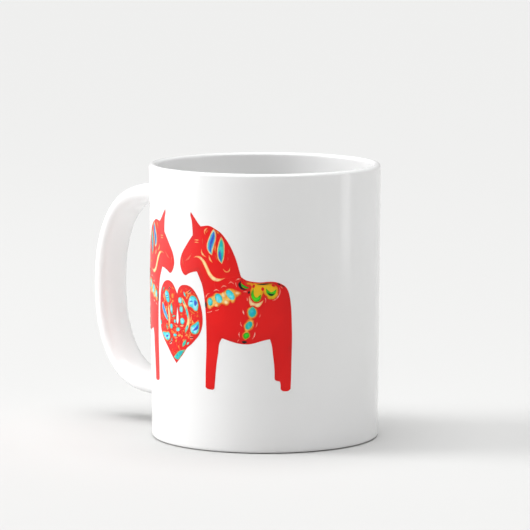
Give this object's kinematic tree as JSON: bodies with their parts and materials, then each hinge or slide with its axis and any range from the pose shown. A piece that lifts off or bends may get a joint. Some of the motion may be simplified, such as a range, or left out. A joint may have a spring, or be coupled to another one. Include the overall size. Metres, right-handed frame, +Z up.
{
  "type": "printed mug",
  "caption": "Straight-sided ceramic mug with a loop handle, for hot drinks, printed with two facing folk-art wooden horses and a heart",
  "frame": {"origin": "on the cup's axis, at the plane that the foot ring rests on", "axes": "+Z up out of the mouth, -X along the handle, -Y out of the middle of the printed side"},
  "size_m": [0.1171, 0.0812, 0.0965],
  "materials": {
    "clay": "matte, bare fired clay",
    "white_glaze": "gloss",
    "red_ink": "printed ink under a clear gloss coat",
    "cream_ink": "printed ink under a clear gloss coat",
    "salmon_ink": "printed ink under a clear gloss coat",
    "orange_ink": "printed ink under a clear gloss coat",
    "white_ink": "printed ink under a clear gloss coat",
    "yellow_ink": "printed ink under a clear gloss coat",
    "cyan_ink": "printed ink under a clear gloss coat",
    "turquoise_ink": "printed ink under a clear gloss coat",
    "green_ink": "printed ink under a clear gloss coat",
    "sky_ink": "printed ink under a clear gloss coat",
    "dark_ink": "printed ink under a clear gloss coat",
    "blue_ink": "printed ink under a clear gloss coat"
  },
  "bodies": {
    "root": {"cup_body": "clay", "handle": "clay", "lower_slip_joint": "clay", "upper_slip_joint": "clay", "outer_glaze": "white_glaze", "inner_glaze": "white_glaze", "base_glaze": "white_glaze", "handle_glaze": "white_glaze", "right_horse_silhouette": "red_ink", "right_mane_halo": "cream_ink", "right_bridle_strokes": "cream_ink", "right_face_strokes": "salmon_ink", "right_neck_patches": "orange_ink", "right_harness_band": "orange_ink", "right_harness_links": "cream_ink", "right_girth_band": "orange_ink", "right_saddle_collar": "cream_ink", "right_white_dashes": "white_ink", "right_saddle": "yellow_ink", "right_front_mane_leaf": "sky_ink", "right_back_mane_leaf": "turquoise_ink", "right_harness_beads": "cyan_ink", "right_girth_beads": "turquoise_ink", "right_green_leaves": "green_ink", "right_saddle_spots": "red_ink", "right_dark_strokes": "dark_ink", "right_mane_cores": "blue_ink", "left_horse_silhouette": "red_ink", "left_mane_halo": "cream_ink", "left_bridle_strokes": "cream_ink", "left_face_strokes": "salmon_ink", "left_neck_patches": "orange_ink", "left_harness_band": "orange_ink", "left_harness_links": "cream_ink", "left_girth_band": "orange_ink", "left_saddle_collar": "cream_ink", "left_white_dashes": "white_ink", "left_saddle": "yellow_ink", "left_front_mane_leaf": "sky_ink", "left_back_mane_leaf": "turquoise_ink", "left_harness_beads": "cyan_ink", "left_girth_beads": "turquoise_ink", "left_green_leaves": "green_ink", "left_saddle_spots": "red_ink", "left_dark_strokes": "dark_ink", "left_mane_cores": "blue_ink", "heart_silhouette": "red_ink", "heart_flower_halos": "orange_ink", "heart_scroll": "cream_ink", "heart_beads": "cyan_ink", "heart_leaf": "sky_ink", "heart_tip_band": "turquoise_ink", "heart_patches": "orange_ink", "heart_white_dashes": "white_ink", "heart_dark_dashes": "dark_ink", "heart_flowers": "cyan_ink", "heart_scroll_leaves": "cyan_ink", "heart_flower_cores": "blue_ink"}
  },
  "joints": []
}
